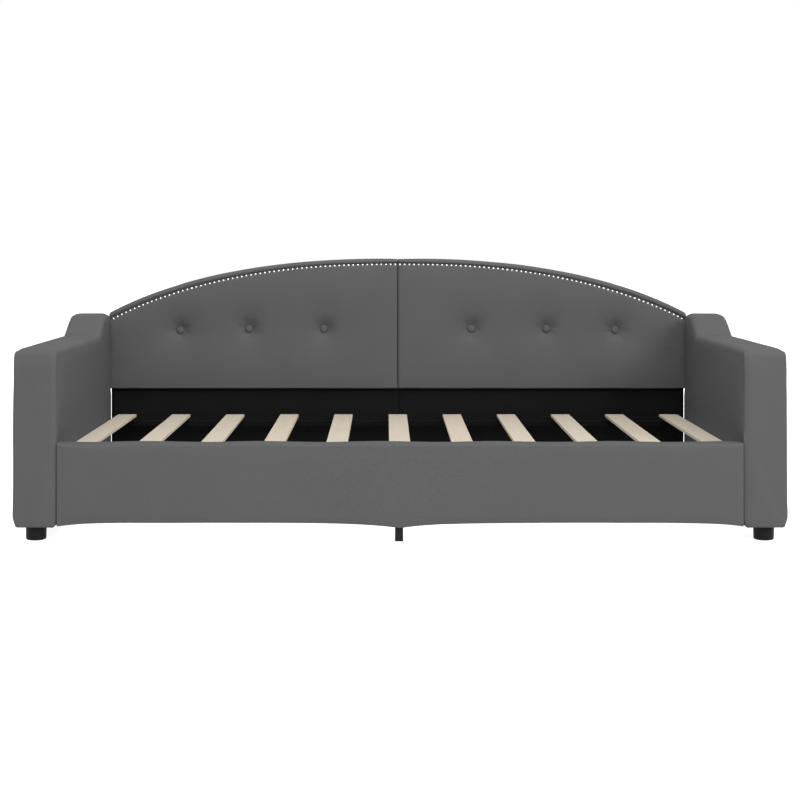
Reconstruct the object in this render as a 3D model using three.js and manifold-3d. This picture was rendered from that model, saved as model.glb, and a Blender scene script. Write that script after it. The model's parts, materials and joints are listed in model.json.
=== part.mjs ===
// Upholstered daybed for a 900 x 2000 mm mattress, in millimetres.
// +X runs along the bed, the open front faces -Y and +Z is up. The origin is on the floor,
// under the middle of the bed.
import * as THREE from 'three';
import { mergeVertices } from 'three/addons/utils/BufferGeometryUtils.js';
import Module from 'manifold-3d';

const wasm = await Module();
wasm.setup();

// Overall sizes
const bedLength = 2255;
const bedDepth = 1030;
const armWidth = 127.5;
const touchGap = 0.3; // left between pieces that rest on each other
const coverThickness = 2;
const sheetThickness = 1.2; // black non-woven linings and dust covers

const halfLength = bedLength / 2;
const innerHalf = halfLength - armWidth;
const frontY = -bedDepth / 2;
const rearY = bedDepth / 2;
const insideCover = coverThickness + touchGap;

// Arms
const arm = {
  bottom: 43.5, top: 561, backTop: 623,
  riserStart: 246, riserEnd: 398,
  cornerRadius: 24, edgeRadius: 14,
  foam: 12, pocket: 18, pocketStart: 442,
};
const armFrame = { bays: 4, firstBay: -425, lastBay: 398, post: 22, rail: 32, web: 4 };
const dustCover = { fromEdge: 12, top: 43.2 };
const foot = { radius: 30.5, lowRadius: 27, edge: 3.5, height: 41.7, x: 1071, inFromEnd: 62.5 };
const stud = { radius: 4, length: 24, clearance: 0.5 };

// Front rail, between the arms
const rail = {
  halfLength: innerHalf - 1, depth: 50, top: 290, edgeRadius: 12, foam: 8,
  archBottom: 57.2, endDip: 10.7, endReach: 65, centreDip: 15.5, centreReach: 100,
};

// Backrest, made as two halves that meet at the middle
const back = {
  padFront: 443, boardFront: 471, rear: 513, seam: 0.5, halfWidth: 1008, boardHalfWidth: 997,
  padBottom: 365, boardBottom: 50, edgeRadius: 8,
  archHalfWidth: 1189, archRise: 345, archCentre: 471, archPower: 2.356, archRoot: 0.702,
};
const backFrame = { bays: 4, rail: 35, facePanel: 4, post: 28, insideArch: 14 };
const rearLining = { fromEdge: 28 };
const button = { radius: 13, thickness: 8, x: [257.5, 520, 760], z: [572, 572, 568] };
const dimple = { mouth: 42, floor: 15, depth: 10 };
const nail = { radius: 5.2, height: 2.6, pitch: 16.3, fromEdge: 21, strip: 11.5, stripThickness: 1 };

// Slatted base and what carries it
const slat = { count: 11, pitch: 188, width: 63.5, thickness: 9, top: 276, front: -459, rear: 435 };
const ledger = { height: 30, frontHalf: 995, frontDepth: 30, rearHalf: 985, rearFront: 415 };
const tape = { width: 25, thickness: 1, fromEnd: 90 };

// Hardware
const centreLeg = { x: -2.5, width: 22, depth: 24, frontFace: frontY + 22, rearFace: 508 };
const bracket = { thickness: 3, leg: 60, bottom: 85, height: 80, boltZ: 125 };
const bolt = { radius: 4, headRadius: 8, headHeight: 5, length: 45, clearance: 0.5 };
const joinPlate = { halfWidth: 60, bottom: 95, height: 60, hole: 3, holeX: 40 };

const finishes = {
  fabric: new THREE.MeshStandardMaterial({ color: 0x58585a, roughness: 0.95, metalness: 0 }),
  foam: new THREE.MeshStandardMaterial({ color: 0xe6dfc8, roughness: 1, metalness: 0 }),
  timber: new THREE.MeshStandardMaterial({ color: 0xc9a777, roughness: 0.75, metalness: 0 }),
  plywood: new THREE.MeshStandardMaterial({ color: 0xdcd0b6, roughness: 0.7, metalness: 0 }),
  lining: new THREE.MeshStandardMaterial({ color: 0x131314, roughness: 1, metalness: 0 }),
  webbing: new THREE.MeshStandardMaterial({ color: 0x1a1a1b, roughness: 0.9, metalness: 0 }),
  blackTimber: new THREE.MeshStandardMaterial({ color: 0x18181a, roughness: 0.8, metalness: 0 }),
  blackPlastic: new THREE.MeshStandardMaterial({ color: 0x1b1b1c, roughness: 0.5, metalness: 0 }),
  blackSteel: new THREE.MeshStandardMaterial({ color: 0x161617, roughness: 0.45, metalness: 0.6 }),
  zinc: new THREE.MeshStandardMaterial({ color: 0xb9bcc0, roughness: 0.35, metalness: 1 }),
  nickel: new THREE.MeshStandardMaterial({ color: 0xd2d2d4, roughness: 0.2, metalness: 1 }),
};

const daybed = new THREE.Group();

// A closed geometry as a solid that can be joined and cut.
function solidOf(geometry) {
  geometry.deleteAttribute('normal');
  geometry.deleteAttribute('uv');
  const merged = mergeVertices(geometry);
  return new wasm.Manifold(new wasm.Mesh({
    numProp: 3,
    vertProperties: Float32Array.from(merged.attributes.position.array),
    triVerts: Uint32Array.from(merged.index.array),
  }));
}

function add(name, solid, finish, parent = daybed) {
  const { vertProperties, triVerts } = solid.getMesh();
  const geometry = new THREE.BufferGeometry();
  geometry.setAttribute('position', new THREE.BufferAttribute(vertProperties, 3));
  geometry.setIndex(new THREE.BufferAttribute(triVerts, 1));
  geometry.computeVertexNormals();
  const mesh = new THREE.Mesh(geometry, finish);
  mesh.name = name;
  parent.add(mesh);
  return mesh;
}

function block(x, y, z) {
  const geometry = new THREE.BoxGeometry(x[1] - x[0], y[1] - y[0], z[1] - z[0]);
  return solidOf(geometry.translate((x[0] + x[1]) / 2, (y[0] + y[1]) / 2, (z[0] + z[1]) / 2));
}

// A pair of X limits given for the right side, put on either side of the bed.
function sideSpan(side, low, high) {
  return side > 0 ? [low, high] : [-high, -low];
}

// An outline in X and Z, extruded along Y. The edges of both faces are rounded by radius.
function alongY(outline, y, radius = 0, curveSegments = 4) {
  const geometry = new THREE.ExtrudeGeometry(outline, {
    depth: y[1] - y[0] - 2 * radius, curveSegments, steps: 1,
    bevelEnabled: radius > 0, bevelSize: radius, bevelThickness: radius, bevelOffset: -radius,
    bevelSegments: 2,
  });
  return solidOf(geometry.rotateX(Math.PI / 2).translate(0, y[1] - radius, 0));
}

// An outline in Y and Z, extruded along X.
function alongX(outline, x, radius = 0, curveSegments = 4) {
  const geometry = new THREE.ExtrudeGeometry(outline, {
    depth: x[1] - x[0] - 2 * radius, curveSegments, steps: 1,
    bevelEnabled: radius > 0, bevelSize: radius, bevelThickness: radius, bevelOffset: -radius,
    bevelSegments: 2,
  });
  const turn = new THREE.Matrix4().set(0, 0, 1, x[0] + radius, 1, 0, 0, 0, 0, 1, 0, 0, 0, 0, 0, 1);
  return solidOf(geometry.applyMatrix4(turn));
}

// A turned shape about the Y axis, from its profile of [radius, height] pairs.
function turned(profile, segments = 16) {
  const points = profile.map(([radius, height]) => new THREE.Vector2(radius, height));
  return new THREE.LatheGeometry(points, segments);
}

function roundBar(radius, length, segments = 12) {
  return turned([[0, 0], [radius, 0], [radius, length], [0, length]], segments);
}

// ---- Arms ----

function armOutline(inset) {
  const front = frontY + inset;
  const rear = rearY - inset;
  const top = arm.top - inset;
  const brow = arm.backTop - inset;
  const radius = arm.cornerRadius - inset / 2;
  const start = arm.riserStart + 0.3 * inset;
  const end = arm.riserEnd + 0.3 * inset;
  const rise = brow - top;
  const below = arm.bottom - 60;
  const outline = new THREE.Shape();
  outline.moveTo(front, below);
  outline.lineTo(front, top - radius);
  outline.quadraticCurveTo(front, top, front + radius, top);
  outline.lineTo(start, top);
  outline.bezierCurveTo(start + rise, top + 0.58 * rise, end - 0.9 * rise, brow, end, brow);
  outline.lineTo(rear - radius, brow);
  outline.quadraticCurveTo(rear, brow, rear, brow - radius);
  outline.lineTo(rear, below);
  return outline;
}

// The arm's solid, drawn in by inset on every side but the bottom. Behind the mattress its
// inner face steps back, so that the backrest's edge runs past the arm's padding.
function armBody(side, inset) {
  const radius = Math.max(arm.edgeRadius - inset, 4);
  const x = sideSpan(side, innerHalf + inset, halfLength - inset);
  const pocketX = sideSpan(side, innerHalf - 10, innerHalf + arm.pocket + inset);
  const pocket = block(pocketX, [arm.pocketStart - inset, rearY + 10], [-100, 800]);
  return alongX(armOutline(inset), x, radius).subtract(pocket);
}

function between(low, high) {
  return block([-halfLength - 50, halfLength + 50], [frontY - 50, rearY + 50], [low, high]);
}

function armBays(side) {
  const length = armFrame.lastBay - armFrame.firstBay;
  const width = (length - armFrame.post * (armFrame.bays - 1)) / armFrame.bays;
  const middle = (innerHalf + halfLength) / 2;
  const z = [arm.bottom + 10 + armFrame.rail, arm.top - arm.foam - armFrame.rail];
  const bays = [];
  for (let i = 0; i < armFrame.bays; i += 1) {
    const start = armFrame.firstBay + i * (width + armFrame.post);
    for (const half of [-1, 1]) {
      const near = side * middle + half * armFrame.web / 2;
      const far = near + half * armWidth;
      bays.push(block([Math.min(near, far), Math.max(near, far)], [start, start + width], z));
    }
  }
  return bays;
}

const footPlaces = { front: frontY + foot.inFromEnd, rear: rearY - foot.inFromEnd };
const boltPlaces = { front: frontY + rail.depth + 25, rear: arm.pocketStart - 27 };

function armHoles(side) {
  const studHole = Object.values(footPlaces).map((y) => solidOf(
    roundBar(stud.radius + stud.clearance, stud.length + 6)
      .rotateX(Math.PI / 2).translate(side * foot.x, y, foot.height - 3)));
  const boltHole = Object.values(boltPlaces).map((y) => solidOf(
    roundBar(bolt.radius + bolt.clearance, bolt.length + 6)
      .rotateZ(-Math.PI / 2 * side).translate(side * (innerHalf - 5), y, bracket.boltZ)));
  return [...studHole, ...boltHole];
}

function cutAll(solid, tools) {
  return tools.reduce((rest, tool) => rest.subtract(tool), solid);
}

function addFoot(name, x, y) {
  const { radius, lowRadius, edge, height } = foot;
  const profile = [
    [0, 0], [lowRadius, 0], [radius - 0.5, edge], [radius, 3 * edge], [radius, height],
    [stud.radius, height], [stud.radius, height + stud.length], [0, height + stud.length],
  ];
  const mesh = add(name, solidOf(turned(profile)), finishes.blackPlastic);
  mesh.rotation.x = Math.PI / 2;
  mesh.position.set(x, y, 0);
}

function addArm(side, word) {
  const holes = armHoles(side);
  const paddingInside = arm.foam + insideCover;
  const cover = armBody(side, 0).intersect(between(arm.bottom, 900))
    .subtract(armBody(side, coverThickness));
  const padding = armBody(side, insideCover).intersect(between(arm.bottom + 2, 900))
    .subtract(armBody(side, paddingInside));
  const timber = armBody(side, paddingInside + touchGap).intersect(between(arm.bottom + 2, 900));
  const dustSheet = armBody(side, dustCover.fromEdge).intersect(
    between(dustCover.top - sheetThickness, dustCover.top));
  add(`arm_cover_${word}`, cutAll(cover, holes), finishes.fabric);
  add(`arm_padding_${word}`, cutAll(padding, holes), finishes.foam);
  add(`arm_frame_${word}`, cutAll(timber, [...armBays(side), ...holes]), finishes.timber);
  add(`arm_dust_cover_${word}`, cutAll(dustSheet, holes), finishes.lining);
  for (const [place, y] of Object.entries(footPlaces)) {
    addFoot(`foot_${place}_${word}`, side * foot.x, y);
  }
}

// ---- Front rail ----

// Height of the rail's shaped lower edge: it dips to a blunt point at the middle and at both ends.
function railBottom(x) {
  const ends = rail.endDip * Math.exp((Math.abs(x) - rail.halfLength) / rail.endReach);
  const centre = rail.centreDip * Math.exp(-Math.abs(x) / rail.centreReach);
  return rail.archBottom - Math.min(ends, rail.endDip) - centre;
}

function railBody(inset) {
  const x = rail.halfLength - inset;
  const outline = new THREE.Shape();
  outline.moveTo(-x, 0);
  outline.lineTo(x, 0);
  outline.lineTo(x, rail.top - inset);
  outline.lineTo(-x, rail.top - inset);
  const y = [frontY + inset, frontY + rail.depth - inset];
  return alongY(outline, y, Math.max(rail.edgeRadius - inset, 3));
}

function aboveRailEdge(lift) {
  const reach = rail.halfLength + 5;
  const steps = 64;
  const outline = new THREE.Shape();
  outline.moveTo(-reach, 400);
  for (let i = 0; i <= steps; i += 1) {
    const x = -reach + 2 * reach * i / steps;
    outline.lineTo(x, railBottom(x) + lift);
  }
  outline.lineTo(reach, 400);
  return alongY(outline, [frontY - 20, frontY + rail.depth + 20]);
}

function addFrontRail() {
  const paddingInside = rail.foam + insideCover;
  const boardLift = 2;
  const cover = railBody(0).intersect(aboveRailEdge(0)).subtract(railBody(coverThickness));
  const padding = railBody(insideCover).intersect(aboveRailEdge(boardLift))
    .subtract(railBody(paddingInside));
  const board = railBody(paddingInside + touchGap).intersect(aboveRailEdge(boardLift));
  add('front_rail_cover', cover, finishes.fabric);
  add('front_rail_padding', padding, finishes.foam);
  add('front_rail_board', board, finishes.timber);
}

// ---- Backrest ----

function archHeight(x, inset = 0) {
  const across = Math.abs(x) / (back.archHalfWidth - inset);
  const height = (back.archRise - inset) * (1 - across ** back.archPower) ** back.archRoot;
  return back.archCentre + height;
}

function padOutline(side, inset) {
  const near = back.seam + inset;
  const far = back.halfWidth - inset;
  const steps = 22;
  const outline = new THREE.Shape();
  outline.moveTo(side * near, back.padBottom + inset);
  outline.lineTo(side * far, back.padBottom + inset);
  for (let i = 0; i <= steps; i += 1) {
    const x = far + (near - far) * i / steps;
    outline.lineTo(side * x, archHeight(x, inset));
  }
  return outline;
}

function dimpleCutter(x, z, inset) {
  const mouth = dimple.mouth + inset;
  const floor = dimple.floor + inset;
  const profile = [[0, -20], [mouth, -20], [mouth, 0], [floor, dimple.depth + inset],
    [0, dimple.depth + inset]];
  return solidOf(turned(profile, 12).translate(x, back.padFront, z));
}

// One half's pad, drawn in by inset on every side but the rear, with its button dimples.
function padBody(side, inset) {
  const radius = Math.max(back.edgeRadius - inset, 3);
  const pad = alongY(padOutline(side, inset), [back.padFront + inset, back.rear + 40], radius);
  return cutAll(pad, button.x.map((x, i) => dimpleCutter(side * x, button.z[i], inset)));
}

function addPad(side, word) {
  const wide = sideSpan(side, -10, halfLength);
  const behindBoardFace = back.boardFront - touchGap;
  const tooDeep = block(wide, [back.rear, back.rear + 60], [0, 900]);
  const boardSlot = block(wide, [behindBoardFace, back.rear + 60],
    [back.padBottom - 20, back.padBottom + insideCover]);
  const cover = cutAll(padBody(side, 0), [padBody(side, coverThickness), tooDeep, boardSlot]);
  const behindPadding = block(wide, [behindBoardFace, back.rear + 60], [0, 900]);
  add(`back_cover_${word}`, cover, finishes.fabric);
  add(`back_padding_${word}`, padBody(side, insideCover).subtract(behindPadding), finishes.foam);
}

function backBays(side) {
  const first = back.seam + insideCover + backFrame.post;
  const last = back.boardHalfWidth - backFrame.post;
  const width = (last - first - backFrame.post * (backFrame.bays - 1)) / backFrame.bays;
  const y = [back.boardFront + backFrame.facePanel, back.rear + 10];
  const bays = [];
  for (let i = 0; i < backFrame.bays; i += 1) {
    const start = first + i * (width + backFrame.post);
    const x = sideSpan(side, start, start + width);
    const upperTop = archHeight(start + width) - 1.3 * backFrame.rail;
    bays.push(block(x, y, [back.boardBottom + backFrame.rail, back.padBottom - backFrame.rail / 2]));
    bays.push(block(x, y, [back.padBottom + backFrame.rail / 2, upperTop]));
  }
  return bays;
}

function addBackBoard(side, word) {
  const y = [back.boardFront, back.rear - touchGap];
  const near = back.seam + insideCover;
  const upper = alongY(padOutline(side, backFrame.insideArch), y);
  const lower = block(sideSpan(side, near, back.boardHalfWidth), y,
    [back.boardBottom, back.padBottom + 2 * backFrame.insideArch]);
  add(`back_frame_${word}`, cutAll(upper.add(lower), backBays(side)), finishes.timber);

  const liningX = sideSpan(side, back.seam, back.boardHalfWidth + insideCover);
  const liningRear = back.boardFront - touchGap;
  const lining = block(liningX, [liningRear - sheetThickness, liningRear],
    [back.boardBottom, back.padBottom - touchGap]);
  add(`back_lining_${word}`, lining, finishes.lining);

  const rearFace = back.rear + touchGap;
  const { fromEdge } = rearLining;
  const rearUpper = alongY(padOutline(side, fromEdge), [rearFace, rearFace + sheetThickness]);
  const rearLower = block(sideSpan(side, back.seam + fromEdge, back.boardHalfWidth - fromEdge),
    [rearFace, rearFace + sheetThickness], [back.boardBottom, back.padBottom + 2 * fromEdge]);
  add(`back_rear_lining_${word}`, rearUpper.add(rearLower), finishes.lining);
}

function addButtons(side, word) {
  const { radius, thickness } = button;
  const floor = back.padFront + dimple.depth - touchGap;
  const profile = [[0, 0], [radius - 1, 0], [radius, 2], [radius - 2, 5], [radius - 6, 7.4],
    [0, thickness]];
  button.x.forEach((x, i) => {
    const mesh = add(`tuft_button_${word}_${i + 1}`, solidOf(turned(profile, 12)), finishes.fabric);
    mesh.rotation.x = Math.PI;
    mesh.position.set(side * x, floor, button.z[i]);
  });
}

// Points along the line that lies a steady distance inside the arch, and the way in from it.
function nailLine(x) {
  const slope = (archHeight(x + 1) - archHeight(x - 1)) / 2;
  const inward = new THREE.Vector2(slope, -1).normalize();
  const edge = new THREE.Vector2(x, archHeight(x));
  return { point: edge.addScaledVector(inward, nail.fromEdge), inward };
}

function stripOutline(side, first, last) {
  const steps = 20;
  const edges = [[], []];
  for (let i = 0; i <= steps; i += 1) {
    const { point, inward } = nailLine(first + (last - first) * i / steps);
    [-1, 1].forEach((way, edge) => {
      edges[edge].push(point.clone().addScaledVector(inward, way * nail.strip / 2));
    });
  }
  const loop = [...edges[0], ...edges[1].reverse()];
  return new THREE.Shape(loop.map((p) => new THREE.Vector2(side * p.x, p.y)));
}

function nailPlaces(first, last) {
  const places = [];
  const fineSteps = 4000;
  let travelled = nail.pitch / 2;
  let previous = nailLine(first).point;
  for (let i = 1; i <= fineSteps; i += 1) {
    const { point } = nailLine(first + (last - first) * i / fineSteps);
    travelled += point.distanceTo(previous);
    previous = point;
    if (travelled >= nail.pitch) {
      travelled -= nail.pitch;
      places.push(point);
    }
  }
  return places;
}

function addNailTrim(side, word) {
  const first = back.seam + 3;
  const last = back.halfWidth - 10;
  const stripBack = back.padFront - touchGap;
  const stripFront = stripBack - nail.stripThickness;
  const stripOverlap = 0.3; // how far each head is let into the strip
  let trim = alongY(stripOutline(side, first, last), [stripFront, stripBack]);
  for (const place of nailPlaces(first, last - nail.radius)) {
    const head = turned([[0, -stripOverlap], [nail.radius, -stripOverlap], [0, nail.height]], 6);
    trim = trim.add(solidOf(head.rotateX(Math.PI).translate(side * place.x, stripFront, place.y)));
  }
  add(`nail_trim_${word}`, trim, finishes.nickel);
}

// ---- Slatted base ----

function addSlats() {
  const base = new THREE.Group();
  daybed.add(base);
  const half = (slat.count - 1) / 2;
  for (let i = 0; i < slat.count; i += 1) {
    const x = (i - half) * slat.pitch;
    const board = block([-slat.width / 2, slat.width / 2], [slat.front, slat.rear],
      [slat.top - slat.thickness, slat.top]);
    const number = String(i + 1).padStart(2, '0');
    add(`slat_${number}`, board, finishes.plywood, base).position.x = x;
  }
  const reach = half * slat.pitch + slat.width / 2;
  const top = slat.top - slat.thickness - touchGap;
  const places = { front: slat.front + tape.fromEnd, rear: slat.rear - tape.fromEnd };
  for (const [place, y] of Object.entries(places)) {
    const strap = block([-reach, reach], [y - tape.width / 2, y + tape.width / 2],
      [top - tape.thickness, top]);
    add(`slat_tape_${place}`, strap, finishes.webbing, base);
  }
}

function addLedgers() {
  const top = slat.top - slat.thickness - touchGap;
  const z = [top - ledger.height, top];
  const railBack = frontY + rail.depth + touchGap;
  const front = block([-ledger.frontHalf, ledger.frontHalf],
    [railBack, railBack + ledger.frontDepth], z);
  add('front_ledger', front, finishes.timber);
  const liningFace = back.boardFront - sheetThickness - 2 * touchGap;
  for (const [side, word] of [[-1, 'left'], [1, 'right']]) {
    const rear = block(sideSpan(side, back.seam, ledger.rearHalf),
      [ledger.rearFront, liningFace], z);
    add(`rear_ledger_${word}`, rear, finishes.blackTimber);
  }
}

// ---- Legs and fittings ----

function addCentreLegs() {
  const x = [centreLeg.x - centreLeg.width / 2, centreLeg.x + centreLeg.width / 2];
  const front = [centreLeg.frontFace, centreLeg.frontFace + centreLeg.depth];
  const rear = [centreLeg.rearFace - centreLeg.depth, centreLeg.rearFace];
  add('centre_leg_front', block(x, front, [0, railBottom(0) + 2 - touchGap]), finishes.blackSteel);
  add('centre_leg_rear', block(x, rear, [0, back.boardBottom - touchGap]), finishes.blackSteel);
}

// Steel angle in a corner of the bed: one flange lies on the arm, the other on the board.
function addBracket(side, word, place) {
  const isFront = place === 'front';
  const armFace = innerHalf - touchGap;
  const boardFace = isFront ? frontY + rail.depth + touchGap
    : back.boardFront - sheetThickness - 2 * touchGap;
  const into = isFront ? 1 : -1;
  const spanY = (length) => [boardFace, boardFace + into * length].sort((a, b) => a - b);
  const z = [bracket.bottom, bracket.bottom + bracket.height];
  const armReach = isFront ? bracket.leg : bracket.leg + 20;
  const onArm = block(sideSpan(side, armFace - bracket.thickness, armFace), spanY(armReach), z);
  const onBoard = block(sideSpan(side, armFace - bracket.leg, armFace),
    spanY(bracket.thickness), z);
  const hole = roundBar(bolt.radius + bolt.clearance, 20).rotateZ(Math.PI / 2 * -side)
    .translate(side * (armFace - 10), boltPlaces[place], bracket.boltZ);
  const angle = onArm.add(onBoard).subtract(solidOf(hole));
  add(`corner_bracket_${place}_${word}`, angle, finishes.blackSteel);

  const profile = [[0, -bolt.headHeight], [bolt.headRadius, -bolt.headHeight],
    [bolt.headRadius, 0], [bolt.radius, 0], [bolt.radius, bolt.length], [0, bolt.length]];
  const mesh = add(`corner_bolt_${place}_${word}`, solidOf(turned(profile, 12)), finishes.zinc);
  mesh.rotation.z = -side * Math.PI / 2;
  mesh.position.set(side * (armFace - bracket.thickness - touchGap), boltPlaces[place],
    bracket.boltZ);
}

function addJoinPlate() {
  const rear = back.boardFront - sheetThickness - 2 * touchGap;
  const z = [joinPlate.bottom, joinPlate.bottom + joinPlate.height];
  const plate = block([-joinPlate.halfWidth, joinPlate.halfWidth], [rear - bracket.thickness, rear], z);
  const holes = [];
  for (const x of [-joinPlate.holeX, joinPlate.holeX]) {
    for (const rise of [0.25, 0.75]) {
      holes.push(solidOf(roundBar(joinPlate.hole, 20, 8)
        .translate(x, rear - 10, joinPlate.bottom + rise * joinPlate.height)));
    }
  }
  add('back_join_plate', cutAll(plate, holes), finishes.blackSteel);
}

addFrontRail();
addSlats();
addLedgers();
addCentreLegs();
addJoinPlate();
for (const [side, word] of [[-1, 'left'], [1, 'right']]) {
  addArm(side, word);
  addPad(side, word);
  addBackBoard(side, word);
  addButtons(side, word);
  addNailTrim(side, word);
  for (const place of ['front', 'rear']) addBracket(side, word, place);
}

export default daybed;
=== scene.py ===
import json
import math

import bmesh
import bpy
from mathutils import Matrix, Vector, noise


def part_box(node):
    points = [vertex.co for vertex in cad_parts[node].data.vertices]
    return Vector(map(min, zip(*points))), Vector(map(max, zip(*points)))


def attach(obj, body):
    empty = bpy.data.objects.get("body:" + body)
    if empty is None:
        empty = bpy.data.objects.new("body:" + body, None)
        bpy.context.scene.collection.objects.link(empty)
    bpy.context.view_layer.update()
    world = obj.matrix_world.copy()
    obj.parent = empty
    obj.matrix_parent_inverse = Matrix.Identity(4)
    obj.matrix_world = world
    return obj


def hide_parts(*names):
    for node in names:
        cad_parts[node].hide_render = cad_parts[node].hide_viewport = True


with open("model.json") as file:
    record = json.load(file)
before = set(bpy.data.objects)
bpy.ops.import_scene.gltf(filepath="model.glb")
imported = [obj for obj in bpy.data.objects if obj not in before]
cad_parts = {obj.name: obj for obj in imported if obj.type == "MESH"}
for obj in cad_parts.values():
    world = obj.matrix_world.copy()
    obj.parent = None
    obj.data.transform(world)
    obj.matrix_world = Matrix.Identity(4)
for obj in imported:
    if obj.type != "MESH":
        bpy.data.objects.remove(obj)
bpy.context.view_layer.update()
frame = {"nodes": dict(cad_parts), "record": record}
scene = bpy.context.scene
print("frame loaded:", len(frame["nodes"]), "nodes")

mm = 0.001
fullTurn = 2 * math.pi
sides = {"left": -1, "right": 1}
noise.seed_set(4)  # without it the ripples would differ from one run to the next


# a smooth step from 0 at low to 1 at high, which may also be given the other way round
def ramp(low, high, x):
    t = min(max((x - low) / (high - low), 0.0), 1.0)
    return t * t * (3 - 2 * t)


def bell(x, width):
    return math.exp(-(x / width) ** 2)


# how far a rounded edge has turned away at a distance from it
def roll(distance, radius):
    off = max(radius - max(distance, 0.0), 0.0)
    return radius - math.sqrt(max(radius ** 2 - off ** 2, 0.0))


# shader maths written as expressions: a Term wraps one socket
class Term:
    def __init__(self, tree, socket):
        self.tree = tree
        self.socket = socket

    def maths(self, operation, *terms):
        node = self.tree.nodes.new("ShaderNodeMath")
        node.operation = operation
        for slot, term in zip(node.inputs, terms):
            if isinstance(term, Term):
                self.tree.links.new(term.socket, slot)
            else:
                slot.default_value = term
        return Term(self.tree, node.outputs[0])

    def __add__(self, other):
        return self.maths("ADD", self, other)

    def __sub__(self, other):
        return self.maths("SUBTRACT", self, other)

    def __rsub__(self, other):
        return self.maths("SUBTRACT", other, self)

    def __mul__(self, other):
        return self.maths("MULTIPLY", self, other)

    def __abs__(self):
        return self.maths("ABSOLUTE", self)

    def sin(self):
        return self.maths("SINE", self)

    def clamped(self):
        return self.maths("MINIMUM", self.maths("MAXIMUM", self, 0.0), 1.0)

    __radd__ = __add__
    __rmul__ = __mul__


colourMix = {"first": 6, "second": 7, "result": 2}  # where a Mix node has its colour sockets


class Finish:
    def __init__(self, name, roughness=0.6, metallic=0.0, gloss=0.5, **constants):
        self.material = bpy.data.materials.new(name)
        self.material.use_nodes = True
        self.tree = self.material.node_tree
        self.tree.nodes.clear()
        self.shader = self.node("ShaderNodeBsdfPrincipled", {}, {
            "Roughness": roughness, "Metallic": metallic, "Specular IOR Level": gloss,
            **constants})
        self.node("ShaderNodeOutputMaterial", {}, {"Surface": self.shader.outputs[0]})
        self.coords = self.node("ShaderNodeTexCoord").outputs["Object"]

    def node(self, kind, settings=None, values=None):
        node = self.tree.nodes.new(kind)
        for name, value in (settings or {}).items():
            setattr(node, name, value)
        for name, value in (values or {}).items():
            self.feed(node.inputs[name], value)
        return node

    def feed(self, slot, value):
        if isinstance(value, Term):
            value = value.socket
        if isinstance(value, bpy.types.NodeSocket):
            self.tree.links.new(value, slot)
        elif isinstance(value, tuple) and len(value) == 3 and slot.type == "RGBA":
            slot.default_value = (*value, 1)
        else:
            slot.default_value = value

    def term(self, node, output=0):
        return Term(self.tree, node.outputs[output])

    def xyz(self, socket=None):
        node = self.node("ShaderNodeSeparateXYZ", {}, {0: socket or self.coords})
        return [self.term(node, i) for i in range(3)]

    def facing(self):
        normal = self.node("ShaderNodeNewGeometry").outputs["Normal"]
        return [abs(part) for part in self.xyz(normal)]

    def noise(self, scale, detail=2.0, roughness=0.5, stretch=None):
        place = self.coords
        if stretch:
            place = self.node("ShaderNodeVectorMath", {"operation": "MULTIPLY"}, {
                0: self.coords, 1: stretch}).outputs[0]
        return self.term(self.node("ShaderNodeTexNoise", {}, {
            "Scale": scale, "Detail": detail, "Roughness": roughness, "Vector": place}))

    def mixed(self, share, first, second):
        node = self.node("ShaderNodeMix", {"data_type": "RGBA"}, {
            "Factor": share, colourMix["first"]: first, colourMix["second"]: second})
        return node.outputs[colourMix["result"]]

    def bump(self, height, distance, strength=1.0, under=None):
        values = {"Height": height, "Distance": distance, "Strength": strength}
        if under:
            values["Normal"] = under
        return self.node("ShaderNodeBump", {}, values).outputs[0]

    def finish(self, **values):
        for name, value in values.items():
            self.feed(self.shader.inputs[name.replace("_", " ")], value)
        return self.material


# grey cloth of the covers and the buttons
clothLook = {
    "dark": (0.0420, 0.0420, 0.0427), "light": (0.0592, 0.0592, 0.0602), "gloss": 0.12,
    "threadPitch": 1.5 * mm, "weaveDepth": 0.25 * mm, "weaveStrength": 0.7, "drape": 0.8 * mm,
    "fleckShare": 0.55, "patchShare": 0.3, "weaveShare": 0.12, "evenShare": 0.07,
    "fleckRelief": 0.6, "weaveRelief": 0.5, "roughLow": 0.88, "roughSpread": 0.08,
}


def threads(finish, pitch):
    # one set of threads along each axis; each face is woven from the two that lie in it
    waves = [(part * (fullTurn / pitch)).sin() for part in finish.xyz()]
    faces = finish.facing()
    pairs = [(1, 2), (0, 2), (0, 1)]
    woven = None
    for face, (a, b) in zip(faces, pairs):
        cloth = face * (waves[a] * waves[b])
        woven = cloth if woven is None else woven + cloth
    return woven


def greyCloth():
    look = clothLook
    cloth = Finish("dark_grey_upholstery_cloth", gloss=look["gloss"])
    weave = threads(cloth, look["threadPitch"])
    fleck = cloth.noise(scale=900.0, detail=3.0)
    patch = cloth.noise(scale=7.0, detail=3.0)
    shade = (fleck * look["fleckShare"] + patch * look["patchShare"]
             + weave * look["weaveShare"] + look["evenShare"])
    colour = cloth.mixed(shade.clamped(), look["dark"], look["light"])
    drape = cloth.bump(cloth.noise(scale=5.0), look["drape"])
    relief = weave * look["weaveRelief"] + fleck * look["fleckRelief"]
    normal = cloth.bump(relief, look["weaveDepth"], look["weaveStrength"], drape)
    rough = cloth.noise(scale=60.0) * look["roughSpread"] + look["roughLow"]
    return cloth.finish(Base_Color=colour, Normal=normal, Roughness=rough)


# black non-woven sheet with its rows of welded dots
liningLook = {
    "dark": (0.0018,) * 3, "light": (0.0060,) * 3, "gloss": 0.08, "roughness": 0.9,
    "dotPitch": 2.6 * mm, "dotGain": 4.0, "dotLevel": 1.6, "dotShine": 0.3,
    "fibreShare": 0.5, "cloudShare": 0.45, "dotShare": 0.25,
    "fibreRelief": 0.5, "depth": 0.2 * mm, "strength": 0.8,
}


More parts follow.
